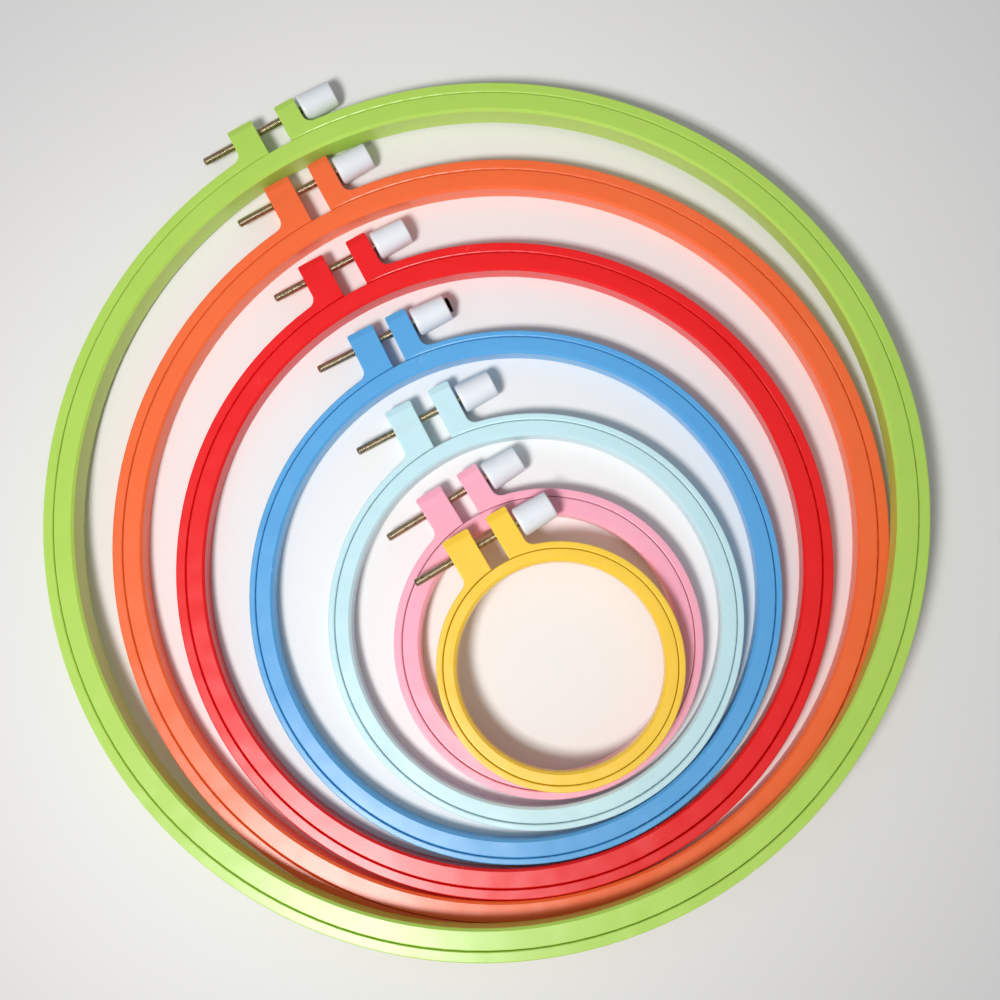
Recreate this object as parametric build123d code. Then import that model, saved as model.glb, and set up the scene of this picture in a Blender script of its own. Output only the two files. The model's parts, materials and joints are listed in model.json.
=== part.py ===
from build123d import *

import os
from collections import namedtuple
from math import atan2, cos, degrees, radians, sin, sqrt

# A set of seven plastic embroidery hoops, laid one inside another on a table.
# Millimetres. +X is the right of the photograph, +Y its top, +Z is up from the table.
# Each hoop is a split outer ring, a closed inner ring that the cloth is stretched over,
# and a clamp: a long screw with a plastic knob, and a brass insert that it threads into.

# Clamp screw, the same on every hoop: thread and cylinder head with a slot
screw_diameter = 3.0
screw_length = 50.0
screw_tip_chamfer = 0.45
screw_head_diameter = 5.5
screw_head_height = 2.0
screw_head_rounding = 0.4
screw_slot_width = 0.8
screw_slot_depth = 1.0
thread_clearance = 0.05

# Knob, a tapered plastic grip over the screw's head
knob_length = 12.8
knob_root_diameter = 10.5
knob_end_diameter = 9.5
knob_root_rounding = 1.0
knob_end_rounding = 0.6
knob_head_clearance = 0.2
knob_head_recess = 1.0
knob_lug_gap = 1.0
knob_table_gap = 0.2

# How far a screw can be backed out before its knob nears the hoop around it
screw_backing_out = 4.0

# Lugs of the outer ring: the wide one holds the insert, the narrow one has a plain hole.
# Towards their tips the tops of both slope down.
thread_lug_width = 9.9
plain_lug_width = 7.8
lug_root_radius = 3.4
lug_corner_radius = 0.8
lug_slope_length = 2.4
lug_slope_drop = 0.8
lug_hole_clearance = 0.2

# Brass insert in the wide lug, with a waist that the plastic grips
insert_length = 7.0
insert_diameter = 4.8
insert_waist_diameter = 4.1
insert_waist_length = 1.8
insert_mouth_chamfer = 0.3
insert_fit = 0.02

# Rings
seam_gap = 0.2
ring_rounding = 0.4
inner_ring_bevel = 0.9

# Height that a hoop keeps above the one it lies on
rest_gap = 0.3

# Each hoop's own sizes: the widths of its two rings, the gap of the split between its lugs,
# how far the lugs stand out from the ring, and how far below their tips the screw passes
ring_height = 8.5

green_height = 10.0
green_outer_wall = 3.55
green_inner_wall = 6.85
green_split = 9.2
green_lug_reach = 11.1
green_screw_below_tip = 4.1

orange_outer_wall = 3.6
orange_inner_wall = 6.7
orange_split = 7.7
orange_lug_reach = 15.6
orange_screw_below_tip = 6.7

red_outer_wall = 3.4
red_inner_wall = 6.35
red_split = 9.2
red_lug_reach = 13.9
red_screw_below_tip = 5.9

# The blue hoop's screw has slid out through its knob by this much
blue_screw_slip = 2.4
blue_outer_wall = 2.1
blue_inner_wall = 5.8
blue_split = 4.9
blue_lug_reach = 15.3
blue_screw_below_tip = 5.9

pale_blue_outer_wall = 2.2
pale_blue_inner_wall = 5.4
pale_blue_split = 6.9
pale_blue_lug_reach = 16.6
pale_blue_screw_below_tip = 7.7

pink_outer_wall = 2.8
pink_inner_wall = 6.0
pink_split = 6.6
pink_lug_reach = 12.8
pink_screw_below_tip = 6.2

yellow_outer_wall = 2.2
yellow_inner_wall = 4.2
yellow_split = 6.9
yellow_lug_reach = 14.0
yellow_screw_below_tip = 7.2

# The largest hoop's diameter. The orange hoop reaches under the green one and the yellow hoop
# over the pink one, so each of these two is a share of the opening that it lies in.
largest_diameter = 300.0
orange_opening_share = 0.9548
yellow_opening_share = 0.9499

# From the largest to the smallest. clamp_angle is where the split is, and lean_angle the side
# of the larger hoop that this one lies towards, both in degrees from +X.
Hoop = namedtuple(
    "Hoop",
    "name outer_wall inner_wall height split lug_reach screw_below_tip screw_slip clamp_angle lean_angle",
)
hoops = [
    Hoop(
        "green", green_outer_wall, green_inner_wall, green_height,
        green_split, green_lug_reach, green_screw_below_tip, 0, 119.0, 299,
    ),
    Hoop(
        "orange", orange_outer_wall, orange_inner_wall, ring_height,
        orange_split, orange_lug_reach, orange_screw_below_tip, 0, 118.6, 299,
    ),
    Hoop(
        "red", red_outer_wall, red_inner_wall, ring_height,
        red_split, red_lug_reach, red_screw_below_tip, 0, 118.1, 281,
    ),
    Hoop(
        "blue", blue_outer_wall, blue_inner_wall, ring_height,
        blue_split, blue_lug_reach, blue_screw_below_tip, blue_screw_slip, 116.6, 293,
    ),
    Hoop(
        "pale_blue", pale_blue_outer_wall, pale_blue_inner_wall, ring_height,
        pale_blue_split, pale_blue_lug_reach, pale_blue_screw_below_tip, 0, 117.5, 308,
    ),
    Hoop(
        "pink", pink_outer_wall, pink_inner_wall, ring_height,
        pink_split, pink_lug_reach, pink_screw_below_tip, 0, 121.7, 299,
    ),
    Hoop(
        "yellow", yellow_outer_wall, yellow_inner_wall, ring_height,
        yellow_split, yellow_lug_reach, yellow_screw_below_tip, 0, 120.6, 298,
    ),
]

# How close the orange lugs lie to the green ring, and how far the yellow lugs reach over the
# pink ring that carries them
orange_lugs_to_green = 2.5
yellow_lugs_over_pink = 2.9

# The other hoops lie inside one another: how close their walls come on the side that they lean
# to, and the room left around the clamp on the other side, with the screw backed out, as a share
# of the opening's radius
red_to_orange = 0.4
red_clamp_room_share = 0.0318
blue_to_red = 0.5
blue_clamp_room_share = 0.045
pale_blue_to_blue = 0.4
pale_blue_clamp_room_share = 0.0436
pink_to_pale_blue = 1.2
pink_clamp_room_share = 0.0191
wall_gaps = {
    "red": red_to_orange,
    "blue": blue_to_red,
    "pale_blue": pale_blue_to_blue,
    "pink": pink_to_pale_blue,
}
clamp_room_shares = {
    "red": red_clamp_room_share,
    "blue": blue_clamp_room_share,
    "pale_blue": pale_blue_clamp_room_share,
    "pink": pink_clamp_room_share,
}

# Cuts run this far past the faces that they open
overrun = 1.0

# Sizes worked out from the ones above
screw_radius = screw_diameter / 2
knob_root_radius = knob_root_diameter / 2
screw_axis_height = knob_root_radius + knob_table_gap
screw_under_knob = screw_length - knob_length + knob_head_recess + screw_head_height


def knob_face(hoop):
    """Where along the screw the knob begins, from the middle of the split."""
    return hoop.split / 2 + plain_lug_width + knob_lug_gap


def screw_tip(hoop):
    """Where along the screw its tip is, from the middle of the split."""
    return knob_face(hoop) - screw_under_knob + hoop.screw_slip


def clamp_corners(hoop):
    """The two points of a clamp that reach furthest, along the screw and out from the ring."""
    axis_reach = hoop.lug_reach - hoop.screw_below_tip
    return [
        (knob_face(hoop) + knob_length + screw_backing_out, axis_reach + knob_end_diameter / 2),
        (screw_tip(hoop), axis_reach + screw_radius),
    ]


def widest_inside(hoop, opening):
    """Outer radius of the hoop that just fits an opening of this radius with its clamp.

    A corner of the clamp lies at start + radius * growth from the opening's centre. The radius
    wanted is the one that leaves the clamp's room between the corner and the wall.
    """
    turn = Rot(0, 0, hoop.clamp_angle - 90)
    across = (turn * Pos(1, 0, 0)).position
    outwards = (turn * Pos(0, 1, 0)).position
    towards_wall = (Rot(0, 0, hoop.lean_angle) * Pos(1, 0, 0)).position
    growth = outwards - towards_wall
    steepness = growth.dot(growth)
    clear_radius = opening - opening * clamp_room_shares[hoop.name]
    radii = []
    for along, beside in clamp_corners(hoop):
        start = towards_wall * (opening - wall_gaps[hoop.name]) + across * along + outwards * beside
        slope = start.dot(growth)
        excess = start.dot(start) - clear_radius**2
        radii.append((sqrt(slope**2 - steepness * excess) - slope) / steepness)
    return min(radii)


def ring_sizes():
    """Outer radius of each hoop and the radius of its opening, from the largest inwards."""
    sizes = {}
    outer = largest_diameter / 2
    for hoop in hoops:
        if hoop.name == "orange":
            outer = opening * orange_opening_share
        elif hoop.name == "yellow":
            outer = opening * yellow_opening_share
        elif hoop.name in wall_gaps:
            outer = widest_inside(hoop, opening)
        opening = outer - hoop.outer_wall - seam_gap - hoop.inner_wall
        sizes[hoop.name] = (outer, opening)
    return sizes


sizes = ring_sizes()


def lug_tip(hoop):
    """Distance of the lugs' tips from the hoop's centre."""
    return sizes[hoop.name][0] + hoop.lug_reach


def screw_line(hoop):
    """Distance of the screw's axis from the hoop's centre."""
    return lug_tip(hoop) - hoop.screw_below_tip


def along_screw(hoop, start):
    """A frame on the screw's axis whose +Z points from the wide lug to the knob."""
    return Plane(origin=(start, screw_line(hoop), screw_axis_height), x_dir=(0, 1, 0), z_dir=(1, 0, 0))


def rod(radius, length):
    """A cylinder that stands on the origin."""
    return Cylinder(radius, length, align=(Align.CENTER, Align.CENTER, Align.MIN))


def lug_root(outer, flank):
    """The web that rounds the corner between a lug's outer flank and the rim.

    Its arc touches the flank, a line at this distance along the screw, and the rim.
    """
    middle_x = flank + (lug_root_radius if flank > 0 else -lug_root_radius)
    middle_y = ((outer + lug_root_radius) ** 2 - middle_x**2) ** 0.5
    share = outer / (outer + lug_root_radius)
    corners = [(flank, middle_y), (flank, 0), (middle_x * share, middle_y * share), (middle_x, middle_y)]
    if flank < 0:
        corners.reverse()
    return Polygon(*corners, align=None) - Pos(middle_x, middle_y) * Circle(lug_root_radius)


def lugged_disc(hoop):
    """A disc with the block of both lugs on it, its flanks flowing into the rim."""
    outer = sizes[hoop.name][0]
    left = -hoop.split / 2 - thread_lug_width
    right = hoop.split / 2 + plain_lug_width
    lugs = Pos((left + right) / 2, lug_tip(hoop) / 2) * Rectangle(right - left, lug_tip(hoop))
    outline = Circle(outer) + lugs + lug_root(outer, left) + lug_root(outer, right)
    return extrude(outline, hoop.height)


def outer_ring(hoop):
    """The split ring: the lugged disc, opened, split between the lugs, rounded and drilled.

    Last the lugs' tops are sloped down from a fold line across both, near their tips.
    """
    inside = sizes[hoop.name][0] - hoop.outer_wall
    split_depth = lug_tip(hoop) + overrun
    split = Pos(0, split_depth / 2, hoop.height / 2) * Box(hoop.split, split_depth, hoop.height)
    body = lugged_disc(hoop) - rod(inside, hoop.height) - split
    tips = body.edges().filter_by(Axis.Z).filter_by(lambda edge: edge.center().Y > screw_line(hoop))
    body = fillet(tips, lug_corner_radius)
    body = fillet(body.faces().filter_by(Axis.Z).edges(), ring_rounding)
    left = -hoop.split / 2 - thread_lug_width
    lugs_length = thread_lug_width + hoop.split + plain_lug_width
    screw_hole = along_screw(hoop, left - overrun) * rod(
        screw_radius + lug_hole_clearance, lugs_length + 2 * overrun
    )
    insert_seat = along_screw(hoop, left - overrun) * rod(
        insert_diameter / 2 + insert_fit, insert_length + overrun
    )
    fold = lug_tip(hoop) - lug_slope_length
    beyond = lug_tip(hoop) + overrun
    beyond_height = hoop.height - lug_slope_drop * (beyond - fold) / lug_slope_length
    slope = Polygon((fold, hoop.height), (beyond, beyond_height), (beyond, hoop.height + overrun), align=None)
    return body - screw_hole - insert_seat - extrude(Plane.YZ * slope, lugs_length, both=True)


def inner_ring(hoop):
    """The closed ring, with a wider bevel on the rim that faces the opening."""
    outer, opening = sizes[hoop.name]
    ring_radius = outer - hoop.outer_wall - seam_gap
    body = rod(ring_radius, hoop.height) - rod(opening, hoop.height)
    rims = body.edges().filter_by(GeomType.CIRCLE)
    top_rims = rims.group_by(Axis.Z)[-1].sort_by(SortBy.RADIUS)
    body = chamfer(top_rims[0], inner_ring_bevel)
    rims = body.edges().filter_by(GeomType.CIRCLE)
    outer_rims = rims.group_by(SortBy.RADIUS)[-1]
    bottom_rims = rims.group_by(Axis.Z)[0].group_by(SortBy.RADIUS)[0]
    return fillet(outer_rims + bottom_rims, ring_rounding)


def thread_insert(hoop):
    waist_start = (insert_length - insert_waist_length) / 2
    waist = Pos(0, 0, waist_start) * (
        rod(insert_diameter, insert_waist_length) - rod(insert_waist_diameter / 2, insert_waist_length)
    )
    body = rod(insert_diameter / 2, insert_length) - waist
    body = body - rod(screw_radius + thread_clearance, insert_length)
    mouths = body.edges().filter_by(GeomType.CIRCLE).group_by(SortBy.RADIUS)[0]
    body = chamfer(mouths, insert_mouth_chamfer)
    return along_screw(hoop, -hoop.split / 2 - thread_lug_width) * body


def clamp_screw(hoop):
    shank = rod(screw_radius, screw_length)
    shank = chamfer(shank.edges().group_by(Axis.Z)[0], screw_tip_chamfer)
    head = Pos(0, 0, screw_length) * rod(screw_head_diameter / 2, screw_head_height)
    head = fillet(head.edges().group_by(Axis.Z)[-1], screw_head_rounding)
    slot_height = screw_slot_depth + overrun
    slot = Pos(0, 0, screw_length + screw_head_height - screw_slot_depth + slot_height / 2) * Box(
        screw_head_diameter + overrun, screw_slot_width, slot_height
    )
    return along_screw(hoop, screw_tip(hoop)) * (shank + head - slot)


def knob(hoop):
    body = Cone(
        knob_root_radius, knob_end_diameter / 2, knob_length, align=(Align.CENTER, Align.CENTER, Align.MIN)
    )
    body = fillet(body.edges().filter_by(GeomType.CIRCLE).group_by(Axis.Z)[0], knob_root_rounding)
    body = fillet(body.edges().filter_by(GeomType.CIRCLE).group_by(Axis.Z)[-1], knob_end_rounding)
    head_seat_depth = knob_head_recess + screw_head_height
    head_seat = Pos(0, 0, knob_length - head_seat_depth) * rod(
        screw_head_diameter / 2 + knob_head_clearance, head_seat_depth + overrun
    )
    bore = Pos(0, 0, -overrun) * rod(screw_radius + thread_clearance, knob_length + 2 * overrun)
    return along_screw(hoop, knob_face(hoop)) * (body - head_seat - bore)


def hoop_pieces(hoop):
    """One hoop about its own centre, with the split at +Y and its underside at zero height."""
    return {
        "outer_ring": outer_ring(hoop),
        "inner_ring": inner_ring(hoop),
        "thread_insert": thread_insert(hoop),
        "clamp_screw": clamp_screw(hoop),
        "knob": knob(hoop),
    }


def hoop_spacings():
    """Distance of each hoop's centre from that of the hoop before it."""
    green, orange, red, blue, pale_blue, pink, yellow = hoops
    opening = {name: radii[1] for name, radii in sizes.items()}
    outer = {name: radii[0] for name, radii in sizes.items()}
    return {
        "green": 0,
        "orange": lug_tip(orange) + orange_lugs_to_green - opening["green"],
        "red": opening["orange"] - outer["red"] - wall_gaps["red"],
        "blue": opening["red"] - outer["blue"] - wall_gaps["blue"],
        "pale_blue": opening["blue"] - outer["pale_blue"] - wall_gaps["pale_blue"],
        "pink": opening["pale_blue"] - outer["pink"] - wall_gaps["pink"],
        "yellow": lug_tip(yellow) - opening["pink"] - yellow_lugs_over_pink,
    }


def green_tilt(spacing):
    """Tilt of the green hoop, which lies on its lugs' tips and on the orange hoop's edge.

    Its inner wall crosses the orange hoop's outer wall at two places, both this far from its
    centre towards the raised side.
    """
    green, orange = hoops[0], hoops[1]
    opening = sizes["green"][1]
    crossing = (opening**2 + spacing**2 - sizes["orange"][0] ** 2) / (2 * spacing)
    return atan2(orange.height + rest_gap, lug_tip(green) + crossing)


def hoop_places():
    """The place of each hoop: how its own frame lies in the frame of the set."""
    places = {}
    spacings = hoop_spacings()
    x, y = 0, 0
    for hoop in hoops:
        lean = radians(hoop.lean_angle)
        x = x + spacings[hoop.name] * cos(lean)
        y = y + spacings[hoop.name] * sin(lean)
        turn = Rot(0, 0, hoop.clamp_angle - 90)
        if hoop.name == "green":
            tilt = green_tilt(spacings["orange"])
            tip = lug_tip(hoop)
            rise = Pos(tip * cos(lean) * (cos(tilt) - 1), tip * sin(lean) * (cos(tilt) - 1), tip * sin(tilt))
            lift_side = Location((0, 0, 0), (sin(lean), -cos(lean), 0), degrees(tilt))
            places[hoop.name] = rise * lift_side * turn
        elif hoop.name == "yellow":
            places[hoop.name] = Pos(x, y, hoops[5].height + rest_gap) * turn
        else:
            places[hoop.name] = Pos(x, y, 0) * turn
    return places


def build_set():
    """All pieces in place, moved so that the middle of the set's footprint is the origin."""
    places = hoop_places()
    pieces = {}
    for hoop in hoops:
        for piece, solid in hoop_pieces(hoop).items():
            pieces[f"{hoop.name}_{piece}"] = places[hoop.name] * solid
    boxes = [solid.bounding_box() for solid in pieces.values()]
    middle_x = (min(box.min.X for box in boxes) + max(box.max.X for box in boxes)) / 2
    middle_y = (min(box.min.Y for box in boxes) + max(box.max.Y for box in boxes)) / 2
    centring = Pos(-middle_x, -middle_y, 0)
    return {name: centring * solid for name, solid in pieces.items()}, centring


pieces, centring = build_set()
os.makedirs("parts", exist_ok=True)
for name, solid in pieces.items():
    export_step(solid, f"parts/{name}.step")
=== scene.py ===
# %% [markdown]
# # Seven embroidery hoops, nested on a table
# An embroidery hoop is a split outer ring that a screw pulls tight round a closed inner ring, so
# that cloth between the two stays flat. This set is moulded in seven sizes and seven colours. The
# sizes and places come from the measured model, which is loaded first and never changed, and this
# lesson gives every piece its finish and the screws their real threads.

# %% Load the measured model
import json
from math import cos, pi, radians, sin

import bmesh
import bpy
from mathutils import Matrix, Vector


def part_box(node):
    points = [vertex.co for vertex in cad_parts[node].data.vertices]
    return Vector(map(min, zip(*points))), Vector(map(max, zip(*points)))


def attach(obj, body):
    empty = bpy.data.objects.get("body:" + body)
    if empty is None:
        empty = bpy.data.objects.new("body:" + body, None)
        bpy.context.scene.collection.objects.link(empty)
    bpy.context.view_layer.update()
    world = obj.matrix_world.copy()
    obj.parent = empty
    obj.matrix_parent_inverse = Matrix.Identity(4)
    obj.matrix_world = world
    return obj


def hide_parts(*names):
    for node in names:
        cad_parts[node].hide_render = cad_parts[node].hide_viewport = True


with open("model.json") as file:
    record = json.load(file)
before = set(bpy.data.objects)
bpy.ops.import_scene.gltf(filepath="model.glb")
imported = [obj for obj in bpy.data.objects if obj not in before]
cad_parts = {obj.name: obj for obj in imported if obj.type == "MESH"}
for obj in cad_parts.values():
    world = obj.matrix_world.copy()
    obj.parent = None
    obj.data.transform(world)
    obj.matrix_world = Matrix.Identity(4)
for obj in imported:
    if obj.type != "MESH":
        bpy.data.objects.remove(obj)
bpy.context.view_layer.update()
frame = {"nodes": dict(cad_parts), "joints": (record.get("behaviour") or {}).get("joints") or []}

scene = bpy.context.scene
millimetre = 0.001

# %% [markdown]
# ## Helpers for every material
# Paint charts and pictures give colours as sRGB hex values, while a shader computes with linear
# light, so one function turns the first into the second. A material or a shape tree is a chain of
# nodes, and a second function adds one node, sets it up and fills its inputs. An input is either a
# plain value or the output of an earlier node, and the function tells the two apart. Where a node
# has more inputs of the same name, a number stands for each: 6 and 7 are the two colours of a Mix,
# and 1 to 4 are the ends of a Map Range, from low and high to low and high.

# %% Colour, node and material helpers
def linear(hex_colour):
    """The linear red, green, blue and alpha of an sRGB hex colour."""
    shares = [int(hex_colour[start : start + 2], 16) / 255 for start in (1, 3, 5)]
    light = [share / 12.92 if share <= 0.04045 else ((share + 0.055) / 1.055) ** 2.4 for share in shares]
    return light + [1]


def add(tree, kind, settings=None, inputs=None):
    """Adds a node of this kind, with its settings, and values or links for its inputs."""
    node = tree.nodes.new(kind)
    for name, value in (settings or {}).items():
        setattr(node, name, value)
    for place, value in (inputs or {}).items():
        if isinstance(value, bpy.types.NodeSocket):
            tree.links.new(value, node.inputs[place])
        else:
            node.inputs[place].default_value = value
    return node


def new_material(name):
    """A material with an empty node tree, and that tree."""
    material = bpy.data.materials.new(name)
    material.use_nodes = True
    material.node_tree.nodes.clear()
    return material, material.node_tree


print("a middle grey on paper is", round(linear("#808080")[0], 3), "of white in light")

# %% [markdown]
# ## Helpers for every object
# A new shape is put together as loose points and faces, becomes a mesh, and shows up once an object
# that holds it is linked to the scene. Lamps and cameras need the last step too, so the two steps
# are two functions.

# %% Mesh and object helpers
def mesh_from(name, form):
    """The mesh of a finished form, which is then freed."""
    mesh = bpy.data.meshes.new(name)
    form.to_mesh(mesh)
    form.free()
    return mesh


def new_object(name, data):
    """An object that holds this mesh, lamp or camera, linked to the scene."""
    thing = bpy.data.objects.new(name, data)
    scene.collection.objects.link(thing)
    return thing


# %% [markdown]
# ## The seven hoops
# The hoops are named by their colours, from the largest to the smallest. Each one's middle is read
# from the box of its inner ring, because the marks that a turned mould leaves run in circles round
# that point.

# %% Names, colours and middles
hoop_colours = {
    "green": ("#B4DA58", "#BEE266"),
    "orange": ("#FF6A30", "#FF763C"),
    "red": ("#EF050A", "#F20B10"),
    "blue": ("#52A4DE", "#62B0E6"),
    "pale_blue": ("#C2E4EC", "#CCECF2"),
    "pink": ("#FFA8BE", "#FFB4C8"),
    "yellow": ("#FFCA34", "#FFD244"),
}


def middle(node):
    """The middle of a node's box."""
    low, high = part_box(node)
    return (low + high) / 2


for hoop in hoop_colours:
    low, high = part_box(f"{hoop}_inner_ring")
    print(hoop, "inner ring is", round((high.x - low.x) / millimetre, 1), "mm across")

# %% [markdown]
# ## The camera
# The picture is taken from above, a little from the front and the right, by a camera less than
# half a metre away, so that the far rims show a little of their inner walls. The place is given by
# the point on the table in the middle of the picture, counted from the middle of the largest hoop,
# the distance to it, and how far the line of sight leans from straight down. The focal length was
# worked out from how the circles look. It and the film's width are in millimetres, as on any lens.

# %% Camera over the table
aim_from_green = Vector((7.19 * millimetre, 1.51 * millimetre))
camera_distance = 427 * millimetre
camera_lean = radians(7.55)
camera_side = radians(21.6)
camera_lens = 43.9
film_width = 36
nearest_view = 10 * millimetre

look_at = (middle("green_inner_ring").xy + aim_from_green).to_3d()

backwards = Vector(
    (sin(camera_lean) * sin(camera_side), -sin(camera_lean) * cos(camera_side), cos(camera_lean))
)
across = Vector((0, 1, 0)).cross(backwards).normalized()
upwards = backwards.cross(across)
camera_data = bpy.data.cameras.new("camera")
camera_data.lens = camera_lens
camera_data.sensor_width = film_width
camera_data.clip_start = nearest_view
camera = new_object("camera", camera_data)
camera.matrix_world = Matrix.Translation(look_at + backwards * camera_distance) @ Matrix(
    (across, upwards, backwards)
).transposed().to_4x4()
scene.camera = camera
print("camera", [round(value, 3) for value in camera.location], "metres from the origin")

# %% [markdown]
# ## Table and light
# The hoops lie on a table of matt white laminate, whose printed layer is faintly cloudy. A soft lamp
# stands high on the left, towards the viewer: it throws the short shadows to the right and puts the
# pale sheen on the rings at the lower left. A grid before it keeps its light on the middle, so the
# table darkens a little towards its edges. The rest of the light comes evenly from all round, from a
# pale world, as it does from the walls of a white room. Together they are about as bright as plain
# daylight on a page, so every colour renders about as it is written. Places are in metres.

# %% Table, lamp and world
table_tones = ("#ECEAE8", "#EEECEA")
cloud_spacing = 111 * millimetre
table_size = 5.0
table_gap = 0.05 * millimetre
lamp_place = Vector((-0.18, -0.27, 0.66))
lamp_aim = Vector((-0.01, 0.07, 0))
lamp_size = 0.16
lamp_spread = radians(80)
lamp_power = 0.89
fill_strength = 0.34

table_form = bmesh.new()
bmesh.ops.create_grid(table_form, x_segments=8, y_segments=8, size=table_size / 2)
table_mesh = mesh_from("table", table_form)
table_mesh.transform(Matrix.Translation((0, 0, -table_gap)))
table = new_object("table", table_mesh)

laminate, tree = new_material("matt_white_laminate")
place = add(tree, "ShaderNodeTexCoord").outputs["Object"]
clouds = add(tree, "ShaderNodeTexNoise", {}, {"Vector": place, "Scale": 1 / cloud_spacing, "Detail": 2.0})
tone = add(
    tree, "ShaderNodeMix", {"data_type": "RGBA"},
    {"Factor": clouds.outputs["Fac"], 6: linear(table_tones[0]), 7: linear(table_tones[1])},
)
surface = add(tree, "ShaderNodeBsdfPrincipled", {}, {"Base Color": tone.outputs[2], "Roughness": 0.6})
add(tree, "ShaderNodeOutputMaterial", {}, {"Surface": surface.outputs["BSDF"]})
table_mesh.materials.append(laminate)

lamp_data = bpy.data.lights.new("soft_lamp", "AREA")
lamp_data.shape = "SQUARE"
lamp_data.size = lamp_size
lamp_data.spread = lamp_spread
lamp_data.energy = lamp_power
lamp = new_object("soft_lamp", lamp_data)
lamp.location = lamp_place
lamp.rotation_euler = (lamp_place - lamp_aim).to_track_quat("Z", "Y").to_euler()

room = bpy.data.worlds.new("pale_room")
scene.world = room
room.use_nodes = True
room.node_tree.nodes.clear()
glow = add(
    room.node_tree, "ShaderNodeBackground", {}, {"Color": linear("#F4F6FA"), "Strength": fill_strength}
)
add(room.node_tree, "ShaderNodeOutputWorld", {}, {"Surface": glow.outputs["Background"]})
scene.view_settings.view_transform = "Standard"
print("lamp", round(lamp_place.length, 2), "m away,", lamp_power, "W")

# %% [markdown]
# ## Injection-moulded polypropylene
# The rings and knobs are moulded in polypropylene, a slightly waxy plastic. Light goes up to two
# millimetres into it, and light of the plastic's own colour goes furthest, so edges glow and shadows
# are soft: the subsurface values are for that. The mould was turned on a lathe, and its fine circles
# stay on every flat face as faint rings. They and the grain of the skin are drawn a few times as
# coarse as they are, or they would not show. The grainy skin scatters a lamp's reflection widely,
# while its smooth crests mirror it more sharply: the roughness is for the first and a thin clear
# coat, which no real layer stands for, gives the second. The plastic shrinks unevenly as it cools,
# so no face is quite flat, and the lamp's reflection breaks up along a ring. Pigment drifts a little
# over a few centimetres, and handling leaves a few hair-thin scratches that look paler than the
# rest. Their width is the share of a noise's range that the line takes, so it has no unit.

# %% The plastic's recipe
turning_marks = 0.33 * millimetre
marks_height = 0.01 * millimetre
skin_grain = 0.5 * millimetre
grain_height = 0.015 * millimetre
pigment_drift = 35 * millimetre
scratch_spacing = 7 * millimetre
scratch_width = 0.002
scratch_patch = 18.2 * millimetre
warp_spacing = 16 * millimetre
warp_height = 0.6 * millimetre


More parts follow.
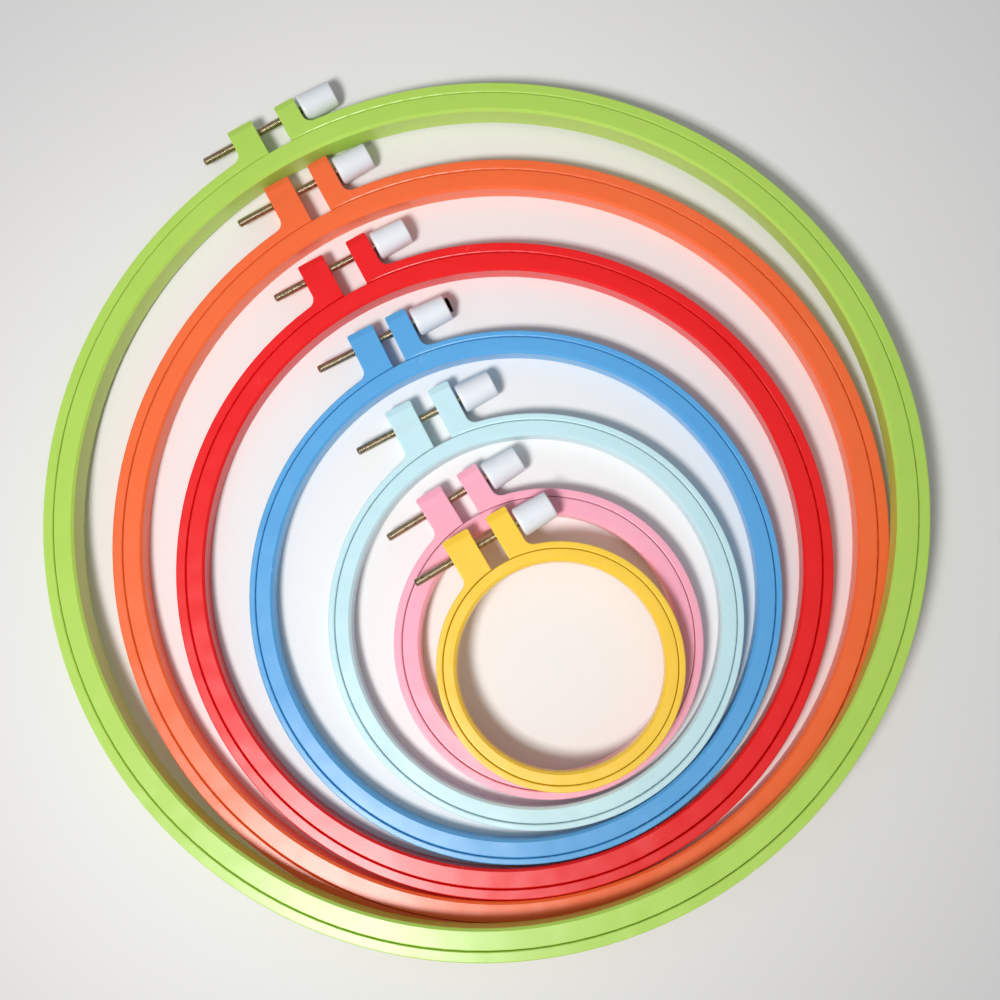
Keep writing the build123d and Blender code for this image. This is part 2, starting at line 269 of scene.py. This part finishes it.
def moulded_polypropylene(name, deeper, paler, centre, glow_depth=2 * millimetre):
    """Polypropylene between two tones of one colour, with turning marks round the centre."""
    material, tree = new_material(name)
    place = add(tree, "ShaderNodeTexCoord").outputs["Object"]
    drift = add(
        tree, "ShaderNodeTexNoise", {}, {"Vector": place, "Scale": 1 / pigment_drift, "Detail": 3.0}
    )
    tone = add(
        tree, "ShaderNodeMix", {"data_type": "RGBA"},
        {"Factor": drift.outputs["Fac"], 6: linear(deeper), 7: linear(paler)},
    )
    # Scratches: the thin line where a warped noise crosses its middle, kept only in some patches
    warped = add(
        tree, "ShaderNodeTexNoise", {},
        {"Vector": place, "Scale": 1 / scratch_spacing, "Detail": 1.0, "Distortion": 1.5},
    )
    off_line = add(tree, "ShaderNodeMath", {"operation": "SUBTRACT"}, {0: warped.outputs["Fac"], 1: 0.5})
    distance = add(tree, "ShaderNodeMath", {"operation": "ABSOLUTE"}, {0: off_line.outputs[0]})
    line = add(
        tree, "ShaderNodeMapRange", {},
        {"Value": distance.outputs[0], 1: 0.0, 2: scratch_width, 3: 1.0, 4: 0.0},
    )
    patches = add(
        tree, "ShaderNodeTexNoise", {}, {"Vector": place, "Scale": 1 / scratch_patch, "Detail": 1.0}
    )
    kept = add(
        tree, "ShaderNodeMapRange", {},
        {"Value": patches.outputs["Fac"], 1: 0.64, 2: 0.72, 3: 0.0, 4: 0.4},
    )
    scratch = add(
        tree, "ShaderNodeMath", {"operation": "MULTIPLY"}, {0: line.outputs[0], 1: kept.outputs[0]}
    )
    worn = add(
        tree, "ShaderNodeMix", {"data_type": "RGBA"},
        {"Factor": scratch.outputs[0], 6: tone.outputs[2], 7: linear("#FFFFFF")},
    )
    # Relief: the warp of the cooled face, circles from the turned mould, and the grain of the skin
    warp = add(
        tree, "ShaderNodeTexNoise", {}, {"Vector": place, "Scale": 1 / warp_spacing, "Detail": 1.0}
    )
    uneven = add(
        tree, "ShaderNodeBump", {},
        {"Strength": 1.0, "Distance": warp_height, "Height": warp.outputs["Fac"]},
    )
    flat = add(
        tree, "ShaderNodeMapping", {},
        {"Vector": place, "Location": (-centre.x, -centre.y, 0), "Scale": (1, 1, 0)},
    )
    radius = add(tree, "ShaderNodeVectorMath", {"operation": "LENGTH"}, {0: flat.outputs[0]})
    circles = add(
        tree, "ShaderNodeTexNoise", {"noise_dimensions": "1D"},
        {"W": radius.outputs["Value"], "Scale": 1 / turning_marks, "Detail": 1.0},
    )
    grain = add(tree, "ShaderNodeTexNoise", {}, {"Vector": place, "Scale": 1 / skin_grain, "Detail": 2.0})
    rings = add(
        tree, "ShaderNodeBump", {},
        {
            "Strength": 0.5, "Distance": marks_height, "Height": circles.outputs["Fac"],
            "Normal": uneven.outputs[0],
        },
    )
    skin = add(
        tree, "ShaderNodeBump", {},
        {
            "Strength": 0.5, "Distance": grain_height, "Height": grain.outputs["Fac"],
            "Normal": rings.outputs[0],
        },
    )
    gloss = add(
        tree, "ShaderNodeMapRange", {}, {"Value": grain.outputs["Fac"], 1: 0.3, 2: 0.7, 3: 0.34, 4: 0.42}
    )
    surface = add(
        tree, "ShaderNodeBsdfPrincipled", {"subsurface_method": "RANDOM_WALK"},
        {
            "Base Color": worn.outputs[2], "Roughness": gloss.outputs[0], "IOR": 1.49,
            "Subsurface Weight": 0.45, "Subsurface Scale": glow_depth,
            "Subsurface Radius": linear(paler)[:3],
            "Coat Weight": 0.3, "Coat Roughness": 0.2, "Coat IOR": 1.49,
            "Normal": skin.outputs[0],
        },
    )
    add(tree, "ShaderNodeOutputMaterial", {}, {"Surface": surface.outputs["BSDF"]})
    return material


# %% [markdown]
# ## One colour for each hoop
# A measured piece keeps its mesh, so only its material slots are filled. The two rings of a hoop
# are moulded from one batch of plastic. They could have a material each, but they share one here, so
# that their tone runs on across the seam, and its turning marks run round the hoop's middle.

# %% Dress the rings
def dress(node, material):
    """Gives a measured piece a material in its own slots."""
    for slot in frame["nodes"][node].material_slots:
        slot.material = material


for hoop, (deeper, paler) in hoop_colours.items():
    plastic = moulded_polypropylene(
        f"moulded_polypropylene_{hoop}", deeper, paler, middle(f"{hoop}_inner_ring")
    )
    dress(f"{hoop}_outer_ring", plastic)
    dress(f"{hoop}_inner_ring", plastic)
print("seven colours of polypropylene on fourteen rings")

# %% [markdown]
# ## Knobs
# The knobs are moulded in the same plastic without pigment, which is milky and lets light further
# in. One recipe serves both, with a greater depth of glow.

# %% Natural polypropylene for the knobs
for hoop in hoop_colours:
    natural = moulded_polypropylene(
        f"natural_polypropylene_{hoop}", "#E2E7ED", "#ECEFF3", middle(f"{hoop}_knob"),
        glow_depth=3 * millimetre,
    )
    dress(f"{hoop}_knob", natural)

# %% [markdown]
# ## Plated steel and brass
# The screws are steel with a dark bronze plating. The crests of a rolled thread rub bright, and
# the roots are darkened as painted shade for the grooves, so the metal's colour follows the distance
# from the axis, which each screw carries as an attribute. The plating wears in blotches about a
# millimetre wide. The inserts are plain turned brass. Metals keep the shader's own IOR.

# %% The metals' recipes
blotch_spacing = millimetre / 0.9


def metal(name, dark, bright, roughness, worn_and_shaded_by=None):
    """A metal between two tones, by a noise or by an attribute of the mesh."""
    material, tree = new_material(name)
    place = add(tree, "ShaderNodeTexCoord").outputs["Object"]
    blotches = add(
        tree, "ShaderNodeTexNoise", {}, {"Vector": place, "Scale": 1 / blotch_spacing, "Detail": 3.0}
    )
    share = blotches.outputs["Fac"]
    if worn_and_shaded_by:
        crest_wear_and_root_shade = add(tree, "ShaderNodeAttribute", {"attribute_name": worn_and_shaded_by})
        uneven = add(tree, "ShaderNodeMapRange", {}, {"Value": share, 1: 0.3, 2: 0.7, 3: 0.6, 4: 1.0})
        worn = add(
            tree, "ShaderNodeMath", {"operation": "MULTIPLY"},
            {0: crest_wear_and_root_shade.outputs["Fac"], 1: uneven.outputs[0]},
        )
        share = worn.outputs[0]
    tone = add(
        tree, "ShaderNodeMix", {"data_type": "RGBA"},
        {"Factor": share, 6: linear(dark), 7: linear(bright)},
    )
    polish = add(
        tree, "ShaderNodeMapRange", {},
        {"Value": blotches.outputs["Fac"], 1: 0.3, 2: 0.7, 3: roughness * 0.8, 4: roughness * 1.2},
    )
    surface = add(
        tree, "ShaderNodeBsdfPrincipled", {},
        {"Base Color": tone.outputs[2], "Metallic": 1.0, "Roughness": polish.outputs[0]},
    )
    add(tree, "ShaderNodeOutputMaterial", {}, {"Surface": surface.outputs["BSDF"]})
    return material


# The bright tone on the thread's crests is rubbed wear, and the dark tone in its roots is painted shade
bronzed_steel = metal("bronzed_steel", "#1E140D", "#FFE6BE", 0.3, worn_and_shaded_by="crest_wear_and_root_shade")
turned_brass = metal("turned_brass", "#A8823E", "#C9A25A", 0.3)
for hoop in hoop_colours:
    dress(f"{hoop}_thread_insert", turned_brass)

# %% [markdown]
# ## The screws' threads
# Every clamp screw is an M3 screw, 50 mm long. A rolled M3 thread climbs half a millimetre in each
# turn, and its flanks, crest and root are fixed shares of that pitch. The crest is drawn wider than
# the standard's eighth and the groove less deep, so that the thread still catches the light when a
# whole screw is only a hundred pixels long. A thread is a rule more than a form: wind a strip of
# four bands round the axis, flank, crest, flank and root, and let it climb by one pitch in every
# turn. Geometry Nodes can say just that. A flat grid has one unit of length for each turn and one
# unit of width for each band, and its points are then moved to the place that the rule gives.
# Neighbouring turns meet point to point, so merging by distance closes the shell.

# %% A tree that winds a thread
band_sixteenths = (4, 5, 4, 3)
merge_distance = 0.001 * millimetre


def thread_tree():
    """Geometry Nodes for a threaded rod on +Z, from the named sizes."""
    tree = bpy.data.node_groups.new("wound_thread", "GeometryNodeTree")
    tree.interface.new_socket("Geometry", in_out="OUTPUT", socket_type="NodeSocketGeometry")
    for name in ("Length", "Pitch", "Crest Radius", "Thread Depth", "Tip Bevel"):
        tree.interface.new_socket(name, in_out="INPUT", socket_type="NodeSocketFloat")
    tree.interface.new_socket("Steps in a Turn", in_out="INPUT", socket_type="NodeSocketInt")
    tree.interface.new_socket("Finish", in_out="INPUT", socket_type="NodeSocketMaterial")
    size = add(tree, "NodeGroupInput").outputs

    def calculate(operation, *values, clamped=False):
        """The result of one sum with plain numbers or earlier results."""
        settings = {"operation": operation, "use_clamp": clamped}
        return add(tree, "ShaderNodeMath", settings, dict(enumerate(values))).outputs[0]

    turns = calculate("ADD", calculate("CEIL", calculate("DIVIDE", size["Length"], size["Pitch"])), 1)
    columns = calculate("ADD", calculate("MULTIPLY", turns, size["Steps in a Turn"]), 1)
    strip = add(
        tree, "GeometryNodeMeshGrid", {},
        {"Size X": turns, "Size Y": 4.0, "Vertices X": columns, "Vertices Y": 5},
    )
    position = add(tree, "GeometryNodeInputPosition")
    place = add(tree, "ShaderNodeSeparateXYZ", {}, {0: position.outputs[0]}).outputs
    turn = calculate("ADD", place["X"], calculate("MULTIPLY", turns, 0.5))
    # How far across each band a point lies, from 0 to 1: flank, crest, flank and root
    bands = [calculate("ADD", place["Y"], 2 - band, clamped=True) for band in range(4)]
    climb = 0.0
    for band, sixteenths in zip(bands, band_sixteenths):
        climb = calculate("MULTIPLY_ADD", band, sixteenths / 16, climb)
    crest = calculate("SUBTRACT", bands[0], bands[2])
    height = calculate("MULTIPLY", calculate("SUBTRACT", calculate("ADD", turn, climb), 1), size["Pitch"])
    height = calculate("MINIMUM", calculate("MAXIMUM", height, 0), size["Length"])
    root_radius = calculate("SUBTRACT", size["Crest Radius"], size["Thread Depth"])
    end_radius = calculate("SUBTRACT", size["Crest Radius"], size["Tip Bevel"])
    from_end = calculate("MINIMUM", height, calculate("SUBTRACT", size["Length"], height))
    radius = calculate(
        "MINIMUM", calculate("MULTIPLY_ADD", size["Thread Depth"], crest, root_radius),
        calculate("ADD", end_radius, from_end),
    )
    angle = calculate("MULTIPLY", turn, 2 * pi)
    wound = add(
        tree, "ShaderNodeCombineXYZ", {},
        {
            0: calculate("MULTIPLY", radius, calculate("COSINE", angle)),
            1: calculate("MULTIPLY", radius, calculate("SINE", angle)),
            2: height,
        },
    )
    # The crest share is stored for the metal: it lightens the crests as wear and darkens the roots as
    # painted shade
    marked = add(
        tree, "GeometryNodeStoreNamedAttribute", {"data_type": "FLOAT", "domain": "POINT"},
        {"Geometry": strip.outputs["Mesh"], "Name": "crest_wear_and_root_shade", "Value": crest},
    )
    thread = add(
        tree, "GeometryNodeSetPosition", {}, {"Geometry": marked.outputs[0], "Position": wound.outputs[0]}
    )
    disc = add(
        tree, "GeometryNodeMeshCircle", {"fill_type": "TRIANGLE_FAN"},
        {"Vertices": size["Steps in a Turn"], "Radius": end_radius},
    )
    tip = add(tree, "GeometryNodeFlipFaces", {}, {"Mesh": disc.outputs[0]})
    lift = add(tree, "ShaderNodeCombineXYZ", {}, {2: size["Length"]})
    top = add(
        tree, "GeometryNodeTransform", {}, {"Geometry": disc.outputs[0], "Translation": lift.outputs[0]}
    )
    shell = add(tree, "GeometryNodeJoinGeometry")
    for part in (thread, tip, top):
        tree.links.new(part.outputs[0], shell.inputs[0])
    closed = add(
        tree, "GeometryNodeMergeByDistance", {},
        {"Geometry": shell.outputs[0], "Distance": merge_distance},
    )
    plain = add(tree, "GeometryNodeRealizeInstances", {}, {"Geometry": closed.outputs[0]})
    finished = add(
        tree, "GeometryNodeSetMaterial", {}, {"Geometry": plain.outputs[0], "Material": size["Finish"]}
    )
    add(tree, "NodeGroupOutput", {}, {0: finished.outputs[0]})
    return tree


# %% [markdown]
# ## From a tree to a mesh
# A tree needs an object to run on, so an empty seed carries it as a modifier. The result is read
# back as a plain mesh and the seed goes. A live modifier would look the same, but a plain mesh can be
# joined to the head and copied for every screw.

# %% Grow the thread
def grown(name, tree, sizes):
    """The plain mesh that a tree makes from these sizes."""
    seed = new_object(f"{name}_seed", bpy.data.meshes.new(f"{name}_seed"))
    modifier = seed.modifiers.new("tree", "NODES")
    modifier.node_group = tree
    for socket in tree.interface.items_tree:
        if socket.in_out == "INPUT":
            modifier[socket.identifier] = sizes[socket.name]
    bpy.context.view_layer.update()
    mesh = bpy.data.meshes.new_from_object(seed.evaluated_get(bpy.context.evaluated_depsgraph_get()))
    bpy.data.objects.remove(seed)
    mesh.name = name
    return mesh


pitch = 0.5 * millimetre
screw_radius = 1.5 * millimetre
screw_length = 50 * millimetre
tip_bevel = 0.45 * millimetre
thread_depth = 0.4 * pitch
thread_steps = 24
thread = grown(
    "m3_thread", thread_tree(),
    {
        "Length": screw_length, "Pitch": pitch, "Crest Radius": screw_radius, "Thread Depth": thread_depth,
        "Tip Bevel": tip_bevel, "Steps in a Turn": thread_steps, "Finish": bronzed_steel,
    },
)
print("one thread:", len(thread.vertices), "points,", len(thread.polygons), "faces")

# %% [markdown]
# ## The screws' heads
# The head is a cylinder with a rounded rim and a slot for a screwdriver. It was turned, so it is
# made as a lathe does: an outline from the axis out and back to the axis, spun all the way round.
# The slot is then milled out by a boolean with a bar.

# %% Turn and slot a head
head_radius = 2.75 * millimetre
head_height = 2 * millimetre
head_rounding = 0.4 * millimetre
slot_width = 0.8 * millimetre
slot_depth = 1 * millimetre
head_overlap = 0.2 * millimetre
head_steps = 48


def turned(outline, steps):
    """A closed form on +Z. Its outline of (radius, height) points starts and ends on the axis."""
    form = bmesh.new()
    turn = [2 * pi * step / steps for step in range(steps)]
    rows = []
    for radius, height in outline:
        if radius == 0:
            rows.append([form.verts.new((0, 0, height))] * steps)
        else:
            circle = [(radius * cos(angle), radius * sin(angle), height) for angle in turn]
            rows.append([form.verts.new(point) for point in circle])
    for low, high in zip(rows, rows[1:]):
        for step in range(steps):
            after = (step + 1) % steps
            corners = [low[step], low[after], high[after], high[step]]
            form.faces.new(list(dict.fromkeys(corners)))
    return form


def rounded_rim(radius, height, rounding, steps=5):
    """The points of a rounded outer edge that ends at this radius and height."""
    corners = [pi / 2 * step / steps for step in range(steps + 1)]
    return [
        (radius - rounding + rounding * cos(corner), height - rounding + rounding * sin(corner))
        for corner in corners
    ]


base = screw_length - head_overlap
top = screw_length + head_height
head_outline = [(0, base), (screw_radius, base), (screw_radius, screw_length)]
head_outline += [(head_radius, screw_length)] + rounded_rim(head_radius, top, head_rounding) + [(0, top)]
head = new_object("head", mesh_from("head", turned(head_outline, head_steps)))
# The bar reaches past the head's rim on both sides and stands half above its top
bar_form = bmesh.new()
bmesh.ops.create_cube(bar_form, size=1)
bar_mesh = mesh_from("bar", bar_form)
bar_mesh.transform(
    Matrix.Translation((0, 0, top)) @ Matrix.Diagonal((3 * head_radius, slot_width, 2 * slot_depth, 1))
)
bar = new_object("bar", bar_mesh)
milling = head.modifiers.new("slot", "BOOLEAN")
milling.operation = "DIFFERENCE"
milling.object = bar
bpy.context.view_layer.update()
slotted = bpy.data.meshes.new_from_object(head.evaluated_get(bpy.context.evaluated_depsgraph_get()))
bpy.data.objects.remove(head)
bpy.data.objects.remove(bar)
print("slotted head:", len(slotted.polygons), "faces")

# %% [markdown]
# ## Put the screws in place
# The measured model says where each screw lies. The joint that moves it gives the direction of its
# axis, and the measured screw's own points give the axis itself and where the tip is along it. The
# new screw is made once, copied for each hoop and moved there in its mesh, and it then stands for
# the measured one. Rolling leaves a crest slightly rounded, so edges that turn by less than 65
# degrees are shaded as one curve, and every crest catches the lamp somewhere.

# %% Seven threaded screws
sharp_edge = radians(65)
whole = bmesh.new()
whole.from_mesh(thread)
whole.from_mesh(slotted)
screw_mesh = mesh_from("clamp_screw", whole)
screw_mesh.materials.append(bronzed_steel)
screw_mesh.shade_smooth()
screw_mesh.set_sharp_from_angle(angle=sharp_edge)

travel = {joint["name"]: Vector(joint["axis"]).normalized() for joint in frame["joints"]}
for hoop in hoop_colours:
    node = frame["nodes"][f"{hoop}_clamp_screw"]
    axis = travel[f"{hoop}_screw_travel"]
    along = [vertex.co.dot(axis) for vertex in node.data.vertices]
    centre = middle(f"{hoop}_clamp_screw")
    tip = centre + axis * (min(along) - centre.dot(axis))
    facing = axis.to_track_quat("Z", "Y").to_matrix().to_4x4()
    mesh = screw_mesh.copy()
    mesh.transform(Matrix.Translation(tip) @ facing)
    screw = new_object(f"{hoop}_threaded_screw", mesh)
    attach(screw, f"{hoop}_screw")
    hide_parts(f"{hoop}_clamp_screw")
    print(hoop, "screw from", [round(value / millimetre, 1) for value in tip], "mm")
